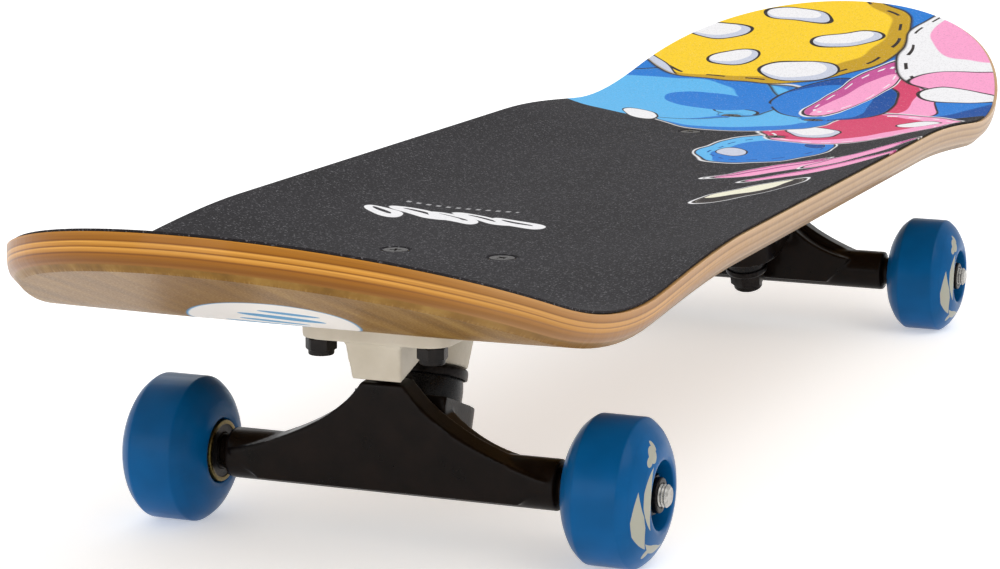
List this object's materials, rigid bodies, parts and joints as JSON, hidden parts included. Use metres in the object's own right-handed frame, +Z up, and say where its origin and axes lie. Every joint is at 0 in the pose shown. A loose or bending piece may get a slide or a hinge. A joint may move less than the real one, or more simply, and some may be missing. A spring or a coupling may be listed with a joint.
{
  "type": "skateboard",
  "caption": "Double-kick skateboard: concave wooden deck with grip tape, steering trucks on rubber bushings and free-spinning wheels on sealed bearings.",
  "frame": {"origin": "on the floor, under the middle of the board's overall length and width", "axes": "+X towards the nose, +Y to the left when facing the nose, +Z up"},
  "size_m": [0.7804, 0.2032, 0.1363],
  "materials": {
    "maple": "varnished maple plies",
    "grip": "coarse abrasive sheet",
    "white_coat": "off-white powder coat on cast alloy",
    "black_coat": "glossy black coat on cast alloy",
    "urethane": "glossy cast urethane",
    "steel": "plated steel",
    "bearing_steel": "bearing ring",
    "dark_steel": "blackened steel",
    "black_nut": "black oxide",
    "spacer_alloy": "turned alloy",
    "bushing": "cast urethane",
    "cup_rubber": "moulded rubber"
  },
  "bodies": {
    "board": {"deck": "maple", "grip_tape": "grip", "rear_outer_left_deck_bolt": "dark_steel", "rear_outer_left_lock_nut": "black_nut", "rear_outer_right_deck_bolt": "dark_steel", "rear_outer_right_lock_nut": "black_nut", "rear_inner_left_deck_bolt": "dark_steel", "rear_inner_left_lock_nut": "black_nut", "rear_inner_right_deck_bolt": "dark_steel", "rear_inner_right_lock_nut": "black_nut", "front_outer_left_deck_bolt": "dark_steel", "front_outer_left_lock_nut": "black_nut", "front_outer_right_deck_bolt": "dark_steel", "front_outer_right_lock_nut": "black_nut", "front_inner_left_deck_bolt": "dark_steel", "front_inner_left_lock_nut": "black_nut", "front_inner_right_deck_bolt": "dark_steel", "front_inner_right_lock_nut": "black_nut", "rear_baseplate": "white_coat", "rear_pivot_cup": "cup_rubber", "rear_kingpin": "steel", "rear_kingpin_nut": "dark_steel", "rear_bushing_boardside": "bushing", "rear_bushing_roadside": "bushing", "rear_washer_boardside": "dark_steel", "rear_washer_roadside": "dark_steel", "front_baseplate": "white_coat", "front_pivot_cup": "cup_rubber", "front_kingpin": "steel", "front_kingpin_nut": "dark_steel", "front_bushing_boardside": "bushing", "front_bushing_roadside": "bushing", "front_washer_boardside": "dark_steel", "front_washer_roadside": "dark_steel"},
    "rear_hanger": {"rear_hanger": "black_coat", "rear_axle": "steel", "rear_left_bearing_spacer": "spacer_alloy", "rear_left_axle_nut": "dark_steel", "rear_right_bearing_spacer": "spacer_alloy", "rear_right_axle_nut": "dark_steel"},
    "rear_left_wheel": {"rear_left_wheel": "urethane", "rear_left_inner_bearing": "bearing_steel", "rear_left_outer_bearing": "bearing_steel"},
    "rear_right_wheel": {"rear_right_wheel": "urethane", "rear_right_inner_bearing": "bearing_steel", "rear_right_outer_bearing": "bearing_steel"},
    "front_hanger": {"front_hanger": "black_coat", "front_axle": "steel", "front_left_bearing_spacer": "spacer_alloy", "front_left_axle_nut": "dark_steel", "front_right_bearing_spacer": "spacer_alloy", "front_right_axle_nut": "dark_steel"},
    "front_left_wheel": {"front_left_wheel": "urethane", "front_left_inner_bearing": "bearing_steel", "front_left_outer_bearing": "bearing_steel"},
    "front_right_wheel": {"front_right_wheel": "urethane", "front_right_inner_bearing": "bearing_steel", "front_right_outer_bearing": "bearing_steel"}
  },
  "joints": [
    {"name": "rear_steer", "type": "hinge", "parent": "board", "child": "rear_hanger", "pos_m": [-0.19525, 0, 0.0396], "axis": [0.7945, 0, -0.6073], "range_deg": [-12, 12], "stiffness_Nm_per_rad": 40, "deforming": ["rear_bushing_boardside", "rear_bushing_roadside"]},
    {"name": "rear_left_spin", "type": "hinge", "parent": "rear_hanger", "child": "rear_left_wheel", "pos_m": [-0.22135, 0.0825, 0.026], "axis": [0, 1, 0], "continuous": true},
    {"name": "rear_right_spin", "type": "hinge", "parent": "rear_hanger", "child": "rear_right_wheel", "pos_m": [-0.22135, -0.0825, 0.026], "axis": [0, 1, 0], "continuous": true},
    {"name": "front_steer", "type": "hinge", "parent": "board", "child": "front_hanger", "pos_m": [0.19055, 0, 0.0396], "axis": [-0.7945, 0, -0.6073], "range_deg": [-12, 12], "stiffness_Nm_per_rad": 40, "deforming": ["front_bushing_boardside", "front_bushing_roadside"]},
    {"name": "front_left_spin", "type": "hinge", "parent": "front_hanger", "child": "front_left_wheel", "pos_m": [0.21665, 0.0825, 0.026], "axis": [0, 1, 0], "continuous": true},
    {"name": "front_right_spin", "type": "hinge", "parent": "front_hanger", "child": "front_right_wheel", "pos_m": [0.21665, -0.0825, 0.026], "axis": [0, 1, 0], "continuous": true}
  ]
}
